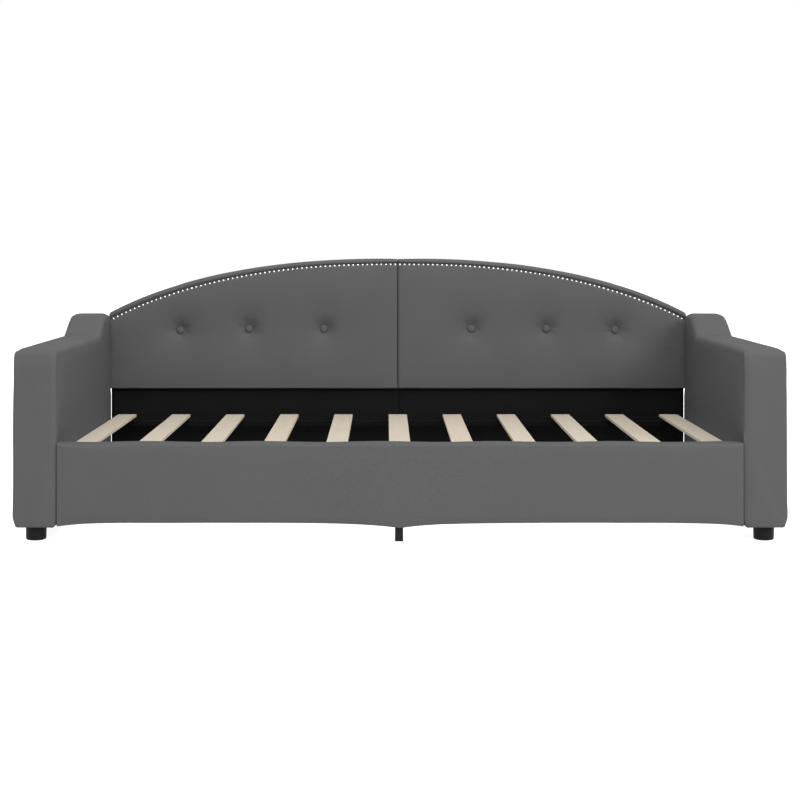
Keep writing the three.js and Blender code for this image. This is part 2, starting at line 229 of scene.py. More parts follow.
def nonWoven():
    look = liningLook
    sheet = Finish("black_non_woven", gloss=look["gloss"])
    x, y, z = sheet.xyz()
    perMetre = fullTurn / look["dotPitch"]
    rows = ((x + z) * perMetre).sin() * ((x - z + y) * perMetre).sin()
    dots = (rows * look["dotGain"] - look["dotLevel"]).clamped()
    fibres = sheet.noise(scale=350.0, detail=4.0)
    cloud = sheet.noise(scale=9.0)
    share = fibres * look["fibreShare"] + cloud * look["cloudShare"] - dots * look["dotShare"]
    colour = sheet.mixed(share.clamped(), look["dark"], look["light"])
    normal = sheet.bump(fibres * look["fibreRelief"] - dots, look["depth"], look["strength"])
    rough = look["roughness"] - dots * look["dotShine"]
    return sheet.finish(Base_Color=colour, Normal=normal, Roughness=rough)


# pale plywood: cream boards with pink and greenish patches, and glue lines on the edges
slatLook = {
    "cream": (0.336, 0.320, 0.272), "pink": (0.405, 0.298, 0.256),
    "green": (0.326, 0.328, 0.238), "grain": (0.27, 0.235, 0.18), "glue": (0.24, 0.17, 0.1),
    "blotchLevel": 0.38, "blotchGain": 4.2, "grainShare": 0.75, "streakShare": 0.4,
    "grainLevel": 0.25, "plyPitch": 3.0 * mm, "glueShare": 0.3,
    "depth": 0.25 * mm, "strength": 0.5, "roughLow": 0.52, "roughSpread": 0.2,
}


def slatWood():
    look = slatLook
    wood = Finish("pale_slat_plywood")
    grain = wood.noise(scale=2.2, detail=6.0, roughness=0.62, stretch=(60.0, 2.2, 60.0))
    streak = wood.noise(scale=9.0, detail=3.0, stretch=(14.0, 0.5, 14.0))
    board = wood.noise(scale=3.1, detail=0.0, stretch=(2.3, 0.12, 0.0))
    blotch = wood.noise(scale=7.0, detail=1.0, stretch=(1.0, 0.7, 1.0))
    plies = (wood.xyz()[2] * (fullTurn / look["plyPitch"])).sin()
    edge = (1 - wood.facing()[2]) * plies
    pinkness = (blotch - look["blotchLevel"]) * look["blotchGain"]
    tinted = wood.mixed(pinkness.clamped(), look["pink"], look["green"])
    warm = wood.mixed(board, look["cream"], tinted)
    clearness = grain * look["grainShare"] + streak * look["streakShare"] - look["grainLevel"]
    grained = wood.mixed(clearness.clamped(), look["grain"], warm)
    colour = wood.mixed((edge * look["glueShare"]).clamped(), grained, look["glue"])
    normal = wood.bump(grain, look["depth"], look["strength"])
    rough = grain * look["roughSpread"] + look["roughLow"]
    return wood.finish(Base_Color=colour, Normal=normal, Roughness=rough)


timberLook = {
    "dark": (0.36, 0.24, 0.13), "light": (0.60, 0.45, 0.28), "roughness": 0.75,
    "depth": 0.4 * mm, "strength": 0.6,
}


def frameTimber():
    look = timberLook
    wood = Finish("sawn_frame_timber", roughness=look["roughness"])
    rings = wood.noise(scale=3.0, detail=5.0, roughness=0.6, stretch=(2.0, 12.0, 12.0))
    colour = wood.mixed(rings, look["dark"], look["light"])
    normal = wood.bump(rings, look["depth"], look["strength"])
    return wood.finish(Base_Color=colour, Normal=normal)


foamLook = {
    "dark": (0.62, 0.56, 0.42), "light": (0.80, 0.75, 0.60), "roughness": 0.95,
    "depth": 0.6 * mm,
}


def paddingFoam():
    look = foamLook
    foam = Finish("cream_foam", roughness=look["roughness"])
    cells = foam.noise(scale=400.0)
    colour = foam.mixed(cells, look["dark"], look["light"])
    return foam.finish(Base_Color=colour, Normal=foam.bump(cells, look["depth"]))


tapeLook = {
    "dark": (0.0014,) * 3, "light": (0.005, 0.005, 0.0053), "roughness": 0.9, "gloss": 0.06,
    "ribPitch": 1.8 * mm, "pickPitch": 2.4 * mm, "depth": 0.3 * mm,
}


def blackTape():
    look = tapeLook
    tape = Finish("black_webbing_tape", roughness=look["roughness"], gloss=look["gloss"])
    x, y, z = tape.xyz()
    ribs = (x * (fullTurn / look["ribPitch"])).sin() * (y * (fullTurn / look["pickPitch"])).sin()
    colour = tape.mixed((ribs * 0.5 + 0.5).clamped(), look["dark"], look["light"])
    return tape.finish(Base_Color=colour, Normal=tape.bump(ribs, look["depth"]))


# paint, plastic or plate: a fine grit and soft clouds of colour and roughness
def plain(name, dark, light, gritScale, depth, roughness, metallic=0.0, spread=0.1, gloss=0.5):
    skin = Finish(name, metallic=metallic, gloss=gloss)
    grit = skin.noise(scale=gritScale, detail=3.0)
    cloud = skin.noise(scale=12.0)
    colour = skin.mixed((grit * 0.5 + cloud * 0.5).clamped(), dark, light)
    rough = cloud * spread + (roughness - spread / 2)
    return skin.finish(Base_Color=colour, Normal=skin.bump(grit, depth), Roughness=rough)


finishes = {
    "grey_fabric": greyCloth(),
    "black_lining": nonWoven(),
    "plywood": slatWood(),
    "timber": frameTimber(),
    "foam": paddingFoam(),
    "webbing": blackTape(),
    "black_timber": plain("black_wrapped_timber", (0.0012,) * 3, (0.0036,) * 3,
                          gritScale=300, depth=0.2 * mm, roughness=0.9, gloss=0.05),
    "black_plastic": plain("satin_black_plastic", (0.0025,) * 3, (0.0055,) * 3,
                           gritScale=700, depth=0.06 * mm, roughness=0.5, gloss=0.1),
    "black_steel": plain("black_powder_coat", (0.004,) * 3, (0.008,) * 3,
                         gritScale=900, depth=0.05 * mm, roughness=0.5, gloss=0.12),
    "zinc": plain("zinc_plate", (0.50, 0.51, 0.53), (0.68, 0.69, 0.71),
                  gritScale=500, depth=0.03 * mm, roughness=0.34, metallic=1.0),
    "nickel": plain("polished_nickel", (0.46, 0.46, 0.47), (0.60, 0.60, 0.61),
                    gritScale=300, depth=0.01 * mm, roughness=0.28, metallic=1.0, spread=0.08),
}
print("finishes made")


# makes a finished piece of a bmesh, with its finish, its body and the nodes it stands for
def addPiece(name, bm, slot, stands=(), body="frame", smooth=True):
    mesh = bpy.data.meshes.new(name)
    bm.to_mesh(mesh)
    bm.free()
    for face in mesh.polygons:
        face.use_smooth = smooth
    piece = bpy.data.objects.new(name, mesh)
    scene.collection.objects.link(piece)
    mesh.materials.append(finishes[slot])
    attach(piece, body)
    if stands:
        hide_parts(*stands)
    return piece


def roundedBlock(low, high, radius, segments=3):
    bm = bmesh.new()
    bmesh.ops.create_cube(bm, size=1.0)
    size = Vector(high) - Vector(low)
    bmesh.ops.scale(bm, vec=size, verts=bm.verts)
    bmesh.ops.translate(bm, vec=(Vector(low) + Vector(high)) / 2, verts=bm.verts)
    bmesh.ops.bevel(bm, geom=bm.edges[:], offset=radius, segments=segments, affect="EDGES",
                    profile=0.5, material=-1, clamp_overlap=True)
    return bm


def cutAt(bm, axis, places):
    direction = Vector([float(i == axis) for i in range(3)])
    for place in places:
        bmesh.ops.bisect_plane(bm, geom=bm.verts[:] + bm.edges[:] + bm.faces[:], dist=1e-6,
                               plane_co=direction * place, plane_no=direction)


def steps(low, high, step):
    count = max(int(math.ceil((high - low) / step)), 1)
    return [low + (high - low) * i / count for i in range(count + 1)]


def reshape(bm, move):
    for vertex in bm.verts:
        vertex.co = move(vertex.co.copy())


def moved(bm, matrix):
    bmesh.ops.transform(bm, matrix=matrix, verts=bm.verts)
    return bm


def mirrored(bm):
    bmesh.ops.scale(bm, vec=(-1, 1, 1), verts=bm.verts)
    bmesh.ops.reverse_faces(bm, faces=bm.faces)
    return bm


def joined(parts):
    whole = bmesh.new()
    for part in parts:
        mesh = bpy.data.meshes.new("part")
        part.to_mesh(mesh)
        part.free()
        whole.from_mesh(mesh)
        bpy.data.meshes.remove(mesh)
    return whole


def turnedShape(profile, around=24):
    # spins [radius, height] pairs about Y, closed on the axis
    bm = bmesh.new()
    points = [bm.verts.new((radius, height, 0)) for radius, height in profile]
    edges = [bm.edges.new(pair) for pair in zip(points, points[1:])]
    bmesh.ops.spin(bm, geom=points + edges, cent=(0, 0, 0), axis=(0, 1, 0), dvec=(0, 0, 0),
                   angle=fullTurn, steps=around, use_merge=True)
    bmesh.ops.remove_doubles(bm, verts=bm.verts, dist=1e-6)
    bmesh.ops.recalc_face_normals(bm, faces=bm.faces)
    return bm


def soften(piece, levels=1):
    divide = piece.modifiers.new("fine_surface", "SUBSURF")
    divide.levels = levels
    divide.render_levels = levels


settling = {
    "frames": 20, "quality": 4, "mass": 0.35, "pressure": 4.0,
    "tension": 18, "compression": 12, "shear": 8, "bending": 0.6,
}


# Cloth pressure swells the cover between the points where it is held down.
def swell(bm, held, cap):
    # the cuts leave the faces in no fixed order, so they are sorted for the solver
    bm.verts.index_update()
    corners = [[vertex.index for vertex in face.verts] for face in bm.faces]
    starts = [face.index(min(face)) for face in corners]
    ordered = sorted(face[start:] + face[:start] for face, start in zip(corners, starts))
    mesh = bpy.data.meshes.new("trial")
    mesh.from_pydata([vertex.co for vertex in bm.verts], [], ordered)
    trial = bpy.data.objects.new("trial", mesh)
    scene.collection.objects.link(trial)
    group = trial.vertex_groups.new(name="held")
    for vertex in bm.verts:
        group.add([vertex.index], held(vertex.co), "REPLACE")
    cloth = trial.modifiers.new("cloth", "CLOTH")
    cloth.settings.quality = settling["quality"]
    cloth.settings.mass = settling["mass"]
    cloth.settings.tension_stiffness = settling["tension"]
    cloth.settings.compression_stiffness = settling["compression"]
    cloth.settings.shear_stiffness = settling["shear"]
    cloth.settings.bending_stiffness = settling["bending"]
    cloth.settings.vertex_group_mass = "held"
    cloth.settings.use_pressure = True
    cloth.settings.uniform_pressure_force = settling["pressure"]
    cloth.settings.effector_weights.gravity = 0
    cloth.collision_settings.use_collision = False
    cloth.collision_settings.use_self_collision = False
    cloth.point_cache.frame_start = 1
    cloth.point_cache.frame_end = settling["frames"]
    for number in range(1, settling["frames"] + 1):
        scene.frame_set(number)
    settled = trial.evaluated_get(bpy.context.evaluated_depsgraph_get()).data
    for vertex, end in zip(bm.verts, settled.vertices):
        move = end.co - vertex.co
        far = move.length
        if far > 1e-9:
            vertex.co += move * (cap * math.tanh(far / cap) / far)
    bpy.data.objects.remove(trial)
    bpy.data.meshes.remove(mesh)
    scene.frame_set(1)


# slow waves in a surface; seed shifts them, so that no two pieces are alike
def ripple(size, wave, seed, amount=lambda co: 1.0):
    offset = Vector((seed, seed * 0.37, -seed))

    def move(co):
        push = noise.noise_vector(co / wave + offset)
        return co + push * size * amount(co)
    return move


arm = {
    "edge": 7 * mm, "step": 12.5 * mm, "rows": (1, 3, 6, 10, 15, 21, 28), "top": 0.5615,
    # rounding of the top, softer inside than outside, and leaning back at the front
    "frontRoll": 20 * mm, "frontLean": 10 * mm, "leanReach": 65 * mm, "rearRoll": 18 * mm,
    "rollFade": 0.26, "sideRoll": 13 * mm, "innerRoll": 19 * mm, "outerRoll": 6 * mm,
    "turnFrom": 0.01, "turnTo": 0.07, "crown": 1.7 * mm, "crownReach": 0.08,
    "frontCorner": 4 * mm, "cornerWide": 16 * mm, "cornerDeep": 0.06, "edgeFill": 0.75,
    # the step up at the rear, with a fold at its foot
    "riserFrom": 0.246, "riserTo": 0.398, "rise": 62 * mm, "earlyRise": 0.8,
    "liftFrom": 0.30, "liftTo": 0.545, "foldAt": 0.238, "foldSlant": 0.02,
    "foldWidth": 11 * mm, "foldDepth": 3 * mm, "foldFade": 0.7, "foldFrom": 0.45, "foldTo": 0.55,
    "foldRows": (-22, -15, -9, -3, 3, 9),
    # room for the end of the backrest
    "recessFrom": 0.4425, "recessTo": 0.449, "recess": 18 * mm, "recessRow": 1.2 * mm,
    "lowRecess": 6.5 * mm, "padBottom": 0.364, "padCorner": 0.350, "slitShift": 1.7 * mm,
    "slitFrom": 0.30, "slitTo": 0.42, "slitLow": 0.345,
    # the lower edges and the lean of the outer face
    "lowOuter": 8 * mm, "lowReach": 28 * mm, "lowInner": 19 * mm,
    "flare": 1.9 * mm, "flareFrom": 0.42, "outerInset": 0.9 * mm,
    # where the cover is held down while it settles
    "heldIn": 3 * mm, "heldBelow": 0.31, "freeFrom": -0.42, "freeTo": 0.36,
    "heldFoot": 12 * mm, "heldRear": 8 * mm,
    "cap": 2 * mm, "ripple": 0.8 * mm, "rippleWave": 0.16, "stillReach": 5 * mm,
    "stillShare": 0.2, "seed": 3.0,
}


def riser(y):
    t = min(max((y - arm["riserFrom"]) / (arm["riserTo"] - arm["riserFrom"]), 0.0), 1.0)
    early = arm["earlyRise"]
    return arm["rise"] * (early * math.sin(t * math.pi / 2) + (1 - early) * ramp(0, 1, t))


def shapeArm(co, low, high):
    width = high.x - low.x
    middle = (low.x + high.x) / 2
    across = (co.x - low.x) / width
    fromTop = arm["top"] - co.z
    fromFront = co.y - low.y
    aboveSeat = ramp(arm["liftFrom"], arm["liftTo"], co.z)
    x, y, z = co
    if x > middle:
        nearFront, along = arm["sideRoll"], arm["outerRoll"]
    else:
        nearFront, along = arm["sideRoll"], arm["innerRoll"]
    side = along + (nearFront - along) * ramp(arm["turnTo"], arm["turnFrom"], fromFront)
    x -= (x - middle) * roll(fromTop, side) * 2 / width
    lean = max(1 - fromTop / arm["leanReach"], 0.0)
    fade = ramp(arm["rollFade"], 0, fromFront)
    y += (roll(fromTop, arm["frontRoll"]) + arm["frontLean"] * lean ** 2) * fade
    y -= roll(fromTop, arm["rearRoll"]) * ramp(high.y - arm["rollFade"], high.y, co.y)
    corner = ramp(arm["cornerWide"], 0, co.x - low.x) * ramp(arm["cornerDeep"], 0, fromFront)
    y += arm["frontCorner"] * corner
    onEdge = ramp(arm["edge"] + mm, 0, fromFront)
    y -= roll(co.x - low.x, arm["edge"]) * onEdge * arm["edgeFill"]
    x += roll(co.z - low.z, arm["lowInner"]) * (1 - across)
    x -= arm["lowOuter"] * ramp(low.z + arm["lowReach"], low.z, co.z) * across ** 6
    x += (arm["flare"] * (1 - (co.z / arm["flareFrom"]) ** 3) - arm["outerInset"]) * across
    behind = co.y - arm["lowRecess"] * ramp(arm["padBottom"], arm["padCorner"], co.z)
    x += arm["recess"] * ramp(arm["recessFrom"], arm["recessTo"], behind) * (1 - across)
    slit = ramp(arm["slitFrom"], arm["slitTo"], co.y) * ramp(arm["padBottom"], arm["slitLow"], co.z)
    x -= arm["slitShift"] * slit * (1 - across)
    z += riser(co.y) * aboveSeat
    foldLine = arm["foldAt"] - arm["foldSlant"] * across
    fold = bell(co.y - foldLine, arm["foldWidth"]) * (1 - arm["foldFade"] * across)
    z -= arm["foldDepth"] * fold * ramp(arm["foldFrom"], arm["foldTo"], co.z)
    z += arm["crown"] * ramp(arm["turnFrom"], arm["crownReach"], fromFront) * aboveSeat
    return Vector((x, y, z))


def makeArms():
    low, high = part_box("arm_cover_right")
    edge, step = arm["edge"], arm["step"]
    bm = roundedBlock(low, (high.x, high.y, arm["top"]), edge)
    rows = [row * mm for row in arm["rows"]]
    cutAt(bm, 0, steps(low.x + edge, high.x - edge, step))
    cutAt(bm, 0, [low.x + row for row in rows[1:5]] + [high.x - row for row in rows[1:5]])
    recessRows = [arm["recessFrom"] + i * arm["recessRow"] for i in range(-1, 13)]
    cutAt(bm, 1, sorted(steps(low.y + edge, high.y - edge, step) + recessRows))
    cutAt(bm, 1, [low.y + row for row in rows[:4]])
    cutAt(bm, 1, [arm["foldAt"] + row * mm for row in arm["foldRows"]])
    cutAt(bm, 2, steps(low.z + rows[-1], arm["top"] - rows[-1], step))
    cutAt(bm, 2, [arm["top"] - row for row in rows] + [low.z + row for row in rows])
    reshape(bm, lambda co: shapeArm(co, low, high))

    # the rail, the ledgers and the fittings lie against the inner face
    def held(co):
        lowInside = co.x < low.x + arm["heldIn"] and co.z < arm["heldBelow"]
        atFittings = lowInside and not arm["freeFrom"] < co.y < arm["freeTo"]
        atFoot = co.z < low.z + arm["heldFoot"]
        atRear = co.y > min(high.y, arm["recessFrom"]) - arm["heldRear"]
        return 1.0 if atFittings or atFoot or atRear else 0.0
    swell(bm, held, arm["cap"])

    still = arm["stillShare"]

    def freely(co):
        return ramp(0, arm["stillReach"], abs(co.x) - low.x) * (1 - still) + still
    for word, side in sides.items():
        copy = bm.copy()
        if side < 0:
            mirrored(copy)
        reshape(copy, ripple(arm["ripple"], arm["rippleWave"], arm["seed"] + side, freely))
        piece = addPiece(f"upholstered_arm_{word}", copy, "grey_fabric",
                         [f"arm_cover_{word}", f"arm_padding_{word}"])
        soften(piece)
    bm.free()


makeArms()
print("arms upholstered")


rail = {
    "half": 0.9996, "edge": 2 * mm, "step": 12.5 * mm, "depthStep": 9 * mm,
    "rows": (1, 2.5, 4.5, 7, 10, 14), "topRoll": 9.5 * mm, "lowRoll": 5 * mm, "low": 0.044,
    # the shaped lower edge
    "archBottom": 57.2 * mm, "endDip": 10.7 * mm, "endReach": 65 * mm,
    "centreDip": 15.5 * mm, "centreReach": 0.1, "liftReach": 50 * mm,
    # the upper edge waves a little between the slats
    "rise": 0.4 * mm, "wave": 1.3 * mm, "wavePitch": 0.34, "waveFrom": -0.402,
    "waveEnd": 0.93, "waveReach": 30 * mm,
    "heldEdge": 8 * mm, "heldEnd": 0.994, "heldBehind": -0.48,
    "cap": 2 * mm, "ripple": 0.6 * mm, "rippleWave": 0.15, "stillReach": 20 * mm, "seed": 8.0,
}


def railEdge(x):
    ends = rail["endDip"] * math.exp(min(abs(x) - rail["half"], 0) / rail["endReach"])
    centre = rail["centreDip"] * math.exp(-abs(x) / rail["centreReach"])
    return rail["archBottom"] - ends - centre


def shapeRail(co, low, high):
    middle = (low.y + high.y) / 2
    depth = high.y - low.y
    away = roll(high.z - co.z, rail["topRoll"]) + roll(co.z - rail["low"], rail["lowRoll"])
    y = co.y - (co.y - middle) * away * 2 / depth
    nearEdge = ramp(high.z - rail["liftReach"], rail["low"], co.z)
    lift = (railEdge(co.x) - rail["low"]) * nearEdge
    wave = math.cos((co.x - rail["waveFrom"]) * fullTurn / rail["wavePitch"])
    fade = ramp(rail["half"], rail["waveEnd"], abs(co.x))
    fade *= ramp(high.z - rail["waveReach"], high.z, co.z)
    return Vector((co.x, y, co.z + lift + (rail["rise"] + rail["wave"] * wave) * fade))


def makeFrontRail():
    low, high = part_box("front_rail_cover")
    edge, half = rail["edge"], rail["half"]
    bm = roundedBlock((-half, low.y, rail["low"]), (half, high.y, high.z), edge)
    rows = [row * mm for row in rail["rows"]]
    cutAt(bm, 0, steps(-half + edge, half - edge, rail["step"]))
    cutAt(bm, 1, steps(low.y + edge, high.y - edge, rail["depthStep"]))
    cutAt(bm, 2, steps(rail["low"] + rows[-1], high.z - rows[-1], rail["step"]))
    cutAt(bm, 2, [high.z - row for row in rows] + [rail["low"] + row for row in rows[:4]])
    reshape(bm, lambda co: shapeRail(co, low, high))

    def held(co):
        atEdge = co.z < railEdge(co.x) + rail["heldEdge"]
        atEnd = abs(co.x) > rail["heldEnd"]
        return 1.0 if atEdge or atEnd or co.y > rail["heldBehind"] else 0.0
    swell(bm, held, rail["cap"])

    def freely(co):
        return ramp(half, half - rail["stillReach"], abs(co.x))
    reshape(bm, ripple(rail["ripple"], rail["rippleWave"], rail["seed"], freely))
    piece = addPiece("upholstered_front_rail", bm, "grey_fabric",
                     ["front_rail_cover", "front_rail_padding"])
    soften(piece)


makeFrontRail()
print("front rail upholstered")


pad = {
    "seam": 0.02 * mm, "half": 1.006, "front": 0.443, "rear": 0.5131, "bottom": 0.365,
    "top": 0.816, "inset": 3 * mm, "edge": 4 * mm, "step": 8.5 * mm,
    "seamRows": (2, 6, 10, 16), "depthRows": (1.5, 3, 4.5, 6.5, 9, 13, 19, 27, 38, 50),
    "rimRows": 17, "rimRow": 1.9 * mm,
    # the arch
    "archHalf": 1.189, "archRise": 0.345, "archCentre": 0.471, "archPower": 2.356,
    "archRoot": 0.702,
    # how the rows near the edge follow it
    "endGap": 4 * mm, "endReach": 0.09, "middleReach": 0.02, "edgedFrom": 0.035,
    "edgedTo": 0.27, "grooveSpread": 0.28, "spreadFrom": 0.15, "spreadTo": 0.95,
    # the rolled border, its groove and the soft seam between the halves
    "roll": 12 * mm, "grooveAt": 16.7 * mm, "grooveWidth": 4.6 * mm, "groove": 8.3 * mm,
    "nailAt": 19.7 * mm, "grooveHeld": 5 * mm, "seamRoll": 11 * mm, "seamReach": 25 * mm,
    "dimpleFrom": 0.03, "dimpleTo": 0.06, "rearStill": 15 * mm, "frontFull": 12 * mm,
    "heldBehind": 0.472,
    "cap": 5 * mm, "ripple": 0.6 * mm, "rippleWave": 0.12, "rippleReach": 30 * mm,
    "rippleRear": 2 * mm, "rippleFull": 0.49, "seed": 15.0,
}
buttons = {
    "x": (0.2575, 0.52, 0.76), "z": (0.572, 0.572, 0.568), "radius": 13.8 * mm,
    "height": 8 * mm, "raised": 2 * mm, "depth": 16 * mm, "core": 28 * mm,
    "sag": 11 * mm, "sagReach": 58 * mm,
    # folds round each button, unevenly spread and turned from one button to the next
    "pleats": 1.6 * mm, "pleatCount": 7, "pleatTurn": 9, "pleatAt": 22 * mm,
    "pleatWidth": 13 * mm, "uneven": 0.6, "unevenCount": 3, "unevenTurn": 20,
}


def archTop(x):
    across = abs(x) / pad["archHalf"]
    return pad["archCentre"] + pad["archRise"] * (1 - across ** pad["archPower"]) ** pad["archRoot"]


def archSlope(x):
    return (archTop(x + mm) - archTop(x - mm)) / (2 * mm)


# Carries a point of the flat layout, x along the bed and d down from the top edge, to its
# place under the arch. Near the edge the rows keep their distance from it.
def underArch(x, d):
    height = archTop(x)
    angle = math.atan(archSlope(x))
    full = pad["top"] - pad["bottom"]
    straight = Vector((x, height - d * (height - pad["bottom"]) / full))
    fade = ramp(pad["half"] - pad["endGap"], pad["half"] - pad["endReach"], x)
    fade *= ramp(0, pad["middleReach"], x)
    reach = d * (1 + pad["grooveSpread"] * ramp(pad["spreadFrom"], pad["spreadTo"], x))
    along = reach * (math.cos(angle) * fade + (1 - fade) / math.cos(angle))
    edged = Vector((x + reach * math.sin(angle) * fade, height - along))
    return straight.lerp(edged, ramp(pad["edgedTo"], pad["edgedFrom"], d))


def dimpleDepth(x, z):
    total = 0.0
    for bx, bz in zip(buttons["x"], buttons["z"]):
        gap = math.hypot(x - bx, z - bz)
        angle = math.atan2(z - bz, x - bx)
        total += buttons["depth"] * bell(gap, buttons["core"])
        total += buttons["sag"] * bell(gap, buttons["sagReach"])
        uneven = math.sin(buttons["unevenCount"] * angle + buttons["unevenTurn"] * bx)
        fold = math.cos(buttons["pleatCount"] * angle + buttons["pleatTurn"] * bx
                        + buttons["uneven"] * uneven)
        ring = bell(gap - buttons["pleatAt"], buttons["pleatWidth"])
        total += buttons["pleats"] * fold * ring
    return total


def grooveDepth(d):
    return roll(d, pad["roll"]) + pad["groove"] * bell(d - pad["grooveAt"], pad["grooveWidth"])


def shapePad(co):
    d = pad["top"] - co.z
    place = underArch(co.x, d)
    frontness = ramp(pad["rear"] - pad["rearStill"], pad["front"] + pad["frontFull"], co.y)
    dimple = dimpleDepth(place.x, place.y) * ramp(pad["dimpleFrom"], pad["dimpleTo"], d)
    deep = grooveDepth(d) + dimple
    seam = roll(co.y - pad["front"] - pad["inset"], pad["seamRoll"])
    seam *= ramp(pad["seamReach"], 0, co.x)
    return Vector((place.x + seam, co.y + deep * frontness, place.y))


def makeBackPads():
    edge = pad["edge"]
    low = (pad["seam"], pad["front"] + pad["inset"], pad["bottom"])
    high = (pad["half"], pad["rear"], pad["top"])
    bm = roundedBlock(low, high, edge)
    cutAt(bm, 0, steps(low[0] + edge, high[0] - edge, pad["step"]))
    cutAt(bm, 0, [low[0] + row * mm for row in pad["seamRows"]])
    cutAt(bm, 1, [low[1] + row * mm for row in pad["depthRows"]])
    fineRows = [pad["top"] - edge - i * pad["rimRow"] for i in range(pad["rimRows"])]
    cutAt(bm, 2, fineRows)
    cutAt(bm, 2, steps(low[2] + edge, fineRows[-1], pad["step"]))
    grooveLine = pad["top"] - pad["nailAt"]
    heldHere = {}
    bm.verts.index_update()
    for vertex in bm.verts:
        co = vertex.co
        place = underArch(co.x, pad["top"] - co.z)
        onFront = co.y < low[1] + mm
        nearButton = any(math.hypot(place.x - bx, place.y - bz) < buttons["radius"]
                         for bx, bz in zip(buttons["x"], buttons["z"]))
        inGroove = abs(co.z - grooveLine) < pad["grooveHeld"]
        atEnd = not low[0] + edge < co.x < high[0] - edge
        atRim = co.y > pad["heldBehind"] or co.z < low[2] + edge or atEnd
        heldHere[vertex.index] = 1.0 if atRim or (onFront and (nearButton or inGroove)) else 0.0
    reshape(bm, shapePad)
    order = iter(range(len(heldHere)))
    swell(bm, lambda co: heldHere[next(order)], pad["cap"])

    def freely(co):
        fromSeam = ramp(0, pad["rippleReach"], abs(co.x))
        return fromSeam * ramp(pad["rear"] - pad["rippleRear"], pad["rippleFull"], co.y)
    for word, side in sides.items():
        copy = bm.copy()
        if side < 0:
            mirrored(copy)
        reshape(copy, ripple(pad["ripple"], pad["rippleWave"], pad["seed"] + side, freely))
        piece = addPiece(f"upholstered_back_{word}", copy, "grey_fabric",
                         [f"back_cover_{word}", f"back_padding_{word}"])
        soften(piece)
    bm.free()


def makeButtons():
    radius, height = buttons["radius"], buttons["height"]
    profile = [(0, 0.6 * mm), (radius * 0.75, 0), (radius * 0.93, 0.8 * mm), (radius, 2.2 * mm),
               (radius * 0.96, 3.8 * mm), (radius * 0.8, 5.8 * mm), (radius * 0.52, 7.3 * mm),
               (radius * 0.22, height), (0, height + 0.1 * mm)]
    for word, side in sides.items():
        for number, (x, z) in enumerate(zip(buttons["x"], buttons["z"]), start=1):
            seat = pad["front"] + dimpleDepth(x + radius * 0.8, z) + buttons["raised"]
            bm = turnedShape(profile)
            moved(bm, Matrix.Translation((side * x, seat, z)) @ Matrix.Rotation(math.pi, 4, "X"))
            name = f"covered_button_{word}_{number}"
            piece = addPiece(name, bm, "grey_fabric", [f"tuft_button_{word}_{number}"])
            soften(piece)


nails = {
    "pitch": 16.3 * mm, "radius": 4.2 * mm, "height": 2.5 * mm, "skirt": 0.5 * mm,
    "sunk": 0.4 * mm, "first": 8 * mm, "endGap": 9 * mm, "pace": 0.25 * mm, "around": 10,
}


def nailHead():
    radius, height, skirt = nails["radius"], nails["height"], nails["skirt"]
    profile = [(0, height), (radius * 0.5, height * 0.88), (radius * 0.85, height * 0.5),
               (radius, 0.12 * mm), (radius * 0.94, -skirt), (0, -skirt)]
    return turnedShape(profile, nails["around"])


# paces along the nail line in small steps and puts a nail at each pitch
def nailPlaces():
    places = []
    x, gone = nails["first"], 0.0
    last = underArch(x, pad["nailAt"])
    while x < pad["half"] - nails["endGap"]:
        here = underArch(x, pad["nailAt"])
        gone += (here - last).length
        last = here
        if not places or gone >= nails["pitch"]:
            gone = 0.0 if not places else gone - nails["pitch"]
            places.append(here)
        x += nails["pace"]
    return places


def makeNails():
    depth = pad["front"] + pad["inset"] + grooveDepth(pad["nailAt"]) - nails["sunk"]
    turn = Matrix.Rotation(math.pi, 4, "X")
    for word, side in sides.items():
        heads = [moved(nailHead(), Matrix.Translation((side * place.x, depth, place.y)) @ turn)
                 for place in nailPlaces()]
        addPiece(f"nail_heads_{word}", joined(heads), "nickel", [f"nail_trim_{word}"])


makeBackPads()
makeButtons()
makeNails()
print("backrest upholstered, buttoned and nailed")


def boardFrom(node, edge, cuts, wobble, seed):
    low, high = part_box(node)
    bm = roundedBlock(low, high, edge, 2)
    axis = max(range(3), key=lambda i: high[i] - low[i])
    cutAt(bm, axis, steps(low[axis] + 2 * edge, high[axis] - 2 * edge, cuts))
    reshape(bm, ripple(wobble, 0.3, seed))
    return bm


slats = {"count": 11, "edge": 0.9 * mm, "cuts": 40 * mm, "wobble": 0.35 * mm, "seed": 1.7}


def makeSlats():
    for number in range(1, slats["count"] + 1):
        node = f"slat_{number:02d}"
        bm = boardFrom(node, slats["edge"], slats["cuts"], slats["wobble"],
                       number * slats["seed"])
        addPiece(f"plywood_{node}", bm, "plywood", [node], body="slat_base", smooth=False)


tapes = {
    "edge": 0.3 * mm, "end": 1 * mm, "cuts": 23.5 * mm, "slatPitch": 0.188,
    "sag": 3.5 * mm, "sagPower": 1.5,
}


def makeTapes():
    def sag(co):
        between = 0.5 - 0.5 * math.cos(fullTurn * (co.x / tapes["slatPitch"]))
        return co - Vector((0, 0, tapes["sag"] * between ** tapes["sagPower"]))
    for place in ("front", "rear"):
        node = f"slat_tape_{place}"
        low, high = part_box(node)
        bm = roundedBlock(low, high, tapes["edge"], 1)
        cutAt(bm, 0, steps(low.x + tapes["end"], high.x - tapes["end"], tapes["cuts"]))
        reshape(bm, sag)
        piece = addPiece(f"webbing_{place}", bm, "webbing", [node], body="slat_base")
        soften(piece)


ledgers = {
    "slots": {"front_ledger": "timber", "rear_ledger_left": "black_timber",
              "rear_ledger_right": "black_timber"},
    "edge": 1.5 * mm, "cuts": 60 * mm, "wobble": 0.3 * mm, "seed": 4.0,
}


